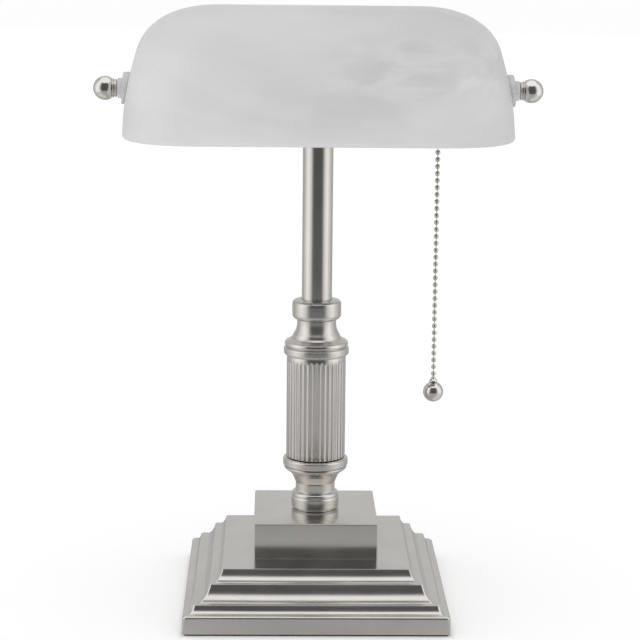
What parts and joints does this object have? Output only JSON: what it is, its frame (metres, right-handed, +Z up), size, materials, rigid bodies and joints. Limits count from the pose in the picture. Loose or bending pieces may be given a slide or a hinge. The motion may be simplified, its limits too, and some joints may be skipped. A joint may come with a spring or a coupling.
{
  "type": "banker desk lamp",
  "caption": "Desk lamp with a stepped square base, a turned and reeded column, a tilting frosted glass trough shade held by ball knobs, and a bead pull chain.",
  "frame": {"origin": "centre of the base's underside, where the felt rests", "axes": "+Z up the column, +X to the right along the shade (the pull chain's side), -Y towards the user"},
  "size_m": [0.2764, 0.1646, 0.3744],
  "materials": {
    "brushed_nickel": "brushed satin nickel plate, clear lacquer",
    "polished_nickel": "polished nickel plate",
    "alabaster_glass": "frosted white alabaster glass, satin, with faint swirls",
    "clear_vinyl": "clear soft vinyl, slightly cloudy",
    "zinc_plated_steel": "bright zinc plate",
    "plain_steel": "nickel-plated pressed sheet steel",
    "brass": "drawn brass, thin lacquer",
    "cast_iron": "rough sand casting",
    "black_felt": "matte black wool felt",
    "black_plastic": "moulded black plastic",
    "phenolic": "moulded brown phenolic",
    "fibre": "vulcanised fibre",
    "lamp_glass": "inside-frosted lamp glass"
  },
  "bodies": {
    "stand": {"base_casting": "brushed_nickel", "plinth_block": "brushed_nickel", "foot_collar": "brushed_nickel", "lower_vase": "brushed_nickel", "lower_ring": "brushed_nickel", "fluted_sleeve": "brushed_nickel", "upper_ring": "brushed_nickel", "upper_vase": "brushed_nickel", "top_collar": "brushed_nickel", "pole_tube": "brushed_nickel", "pole_cap": "brushed_nickel", "threaded_rod": "zinc_plated_steel", "rod_washer": "zinc_plated_steel", "rod_nut": "zinc_plated_steel", "bracket_washer": "zinc_plated_steel", "bracket_nut": "zinc_plated_steel", "screw_nut_left": "zinc_plated_steel", "screw_nut_right": "zinc_plated_steel", "socket_bracket_screw": "zinc_plated_steel", "socket_nipple": "zinc_plated_steel", "nipple_locknut": "zinc_plated_steel", "return_spring": "zinc_plated_steel", "base_cover": "plain_steel", "shade_bracket": "plain_steel", "socket_bracket": "plain_steel", "socket_cap": "brass", "socket_shell": "brass", "screw_shell": "brass", "centre_contact": "brass", "bell_mouth": "brass", "base_weight": "cast_iron", "felt_pad": "black_felt", "cord_bushing": "black_plastic", "switch_body": "phenolic", "socket_insulator": "fibre"},
    "shade": {"glass_shade": "alabaster_glass", "outer_grommet_left": "clear_vinyl", "outer_grommet_right": "clear_vinyl", "inner_washer_left": "fibre", "inner_washer_right": "fibre"},
    "left_knob": {"knob_left": "polished_nickel", "pivot_screw_left": "zinc_plated_steel"},
    "right_knob": {"knob_right": "polished_nickel", "pivot_screw_right": "zinc_plated_steel"},
    "lamp_bulb": {"bulb_glass": "lamp_glass", "bulb_base": "brass"},
    "switch_lever": {"pull_lever": "zinc_plated_steel"},
    "switch_wheel": {"switch_rotor": "black_plastic"},
    "chain_coupling": {"chain_connector": "polished_nickel"},
    "hanging_chain": {"pull_chain": "polished_nickel", "chain_bell": "polished_nickel", "chain_ball": "polished_nickel"}
  },
  "joints": [
    {"name": "shade_tilt", "type": "hinge", "parent": "stand", "child": "shade", "pos_m": [0, 0, 0.3235], "axis": [1, 0, 0], "range_deg": [-45, 45]},
    {"name": "left_knob_turn", "type": "hinge", "parent": "stand", "child": "left_knob", "pos_m": [-0.1306, 0, 0.3235], "axis": [-1, 0, 0], "continuous": true},
    {"name": "right_knob_turn", "type": "hinge", "parent": "stand", "child": "right_knob", "pos_m": [0.1306, 0, 0.3235], "axis": [1, 0, 0], "continuous": true},
    {"name": "bulb_turn", "type": "hinge", "parent": "stand", "child": "lamp_bulb", "pos_m": [0.025, 0, 0.3235], "axis": [1, 0, 0], "continuous": true},
    {"name": "chain_pull", "type": "slide", "parent": "stand", "child": "switch_lever", "axis": [0, 0, -1], "range_m": [0, 0.007], "stiffness_N_per_m": 500, "springref_m": -0.002, "deforming": ["return_spring"]},
    {"name": "switch_turn", "type": "hinge", "parent": "stand", "child": "switch_wheel", "pos_m": [0.064, 0, 0.3235], "axis": [1, 0, 0], "range_deg": [0, 45]},
    {"name": "chain_swing_front", "type": "hinge", "parent": "switch_lever", "child": "chain_coupling", "pos_m": [0.074, 0, 0.2988], "axis": [1, 0, 0], "range_deg": [-15, 15]},
    {"name": "chain_swing_side", "type": "hinge", "parent": "chain_coupling", "child": "hanging_chain", "pos_m": [0.074, 0, 0.2914], "axis": [0, 1, 0], "range_deg": [-30, 15]}
  ],
  "couplings": [
    {"joint": "switch_turn", "follows": "chain_pull", "rad_per_m": 112}
  ]
}
